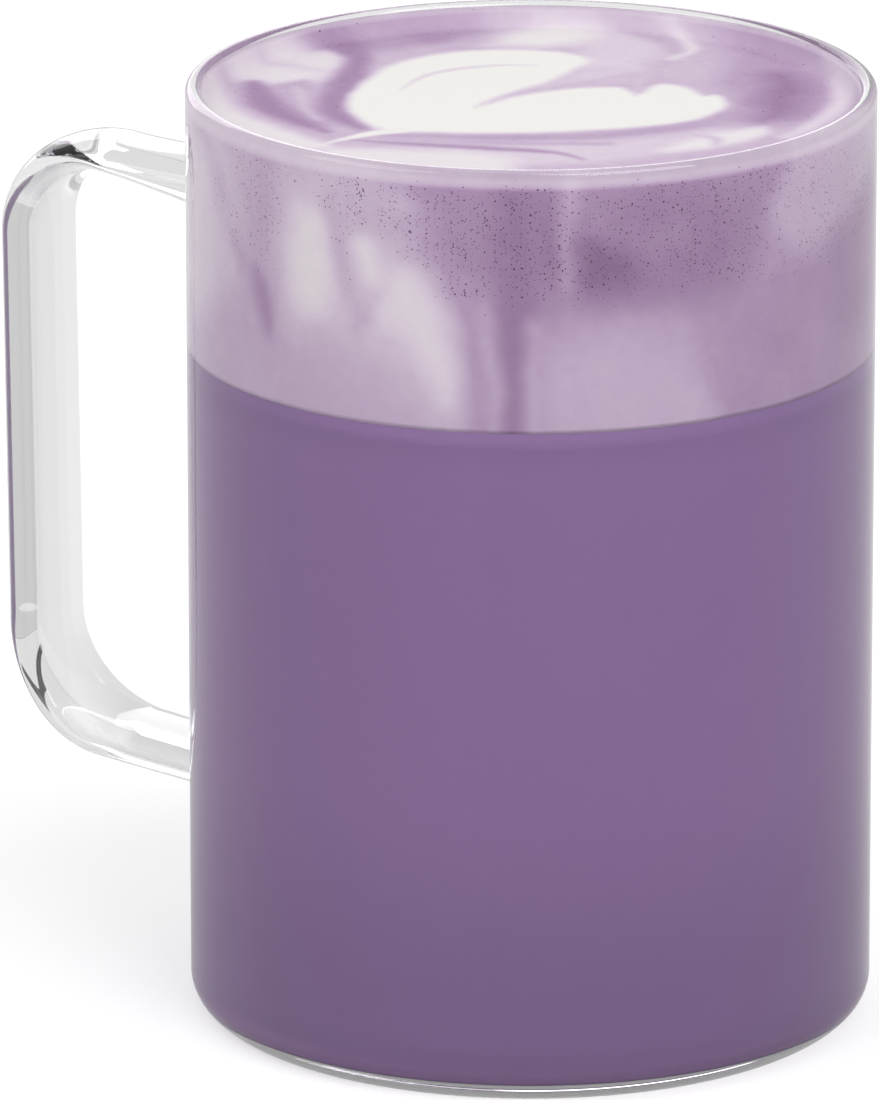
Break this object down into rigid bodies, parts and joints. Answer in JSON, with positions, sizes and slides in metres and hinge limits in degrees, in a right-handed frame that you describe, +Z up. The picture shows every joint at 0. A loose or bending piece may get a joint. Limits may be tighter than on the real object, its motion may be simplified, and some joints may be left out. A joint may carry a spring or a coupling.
{
  "type": "ube latte",
  "caption": "Purple ube latte under a deep layer of milk foam, in a straight clear glass mug with a strap handle.",
  "frame": {"origin": "on the mug's axis, at its resting face", "axes": "+Z up, the handle towards -X"},
  "size_m": [0.1169, 0.082, 0.1142],
  "materials": {
    "glass": "clear blown glass",
    "drink": "opaque milky purple liquid",
    "foam": "milk foam marbled with purple"
  },
  "bodies": {
    "root": {"glass_mug": "glass", "drink": "drink", "foam": "foam"}
  },
  "joints": []
}
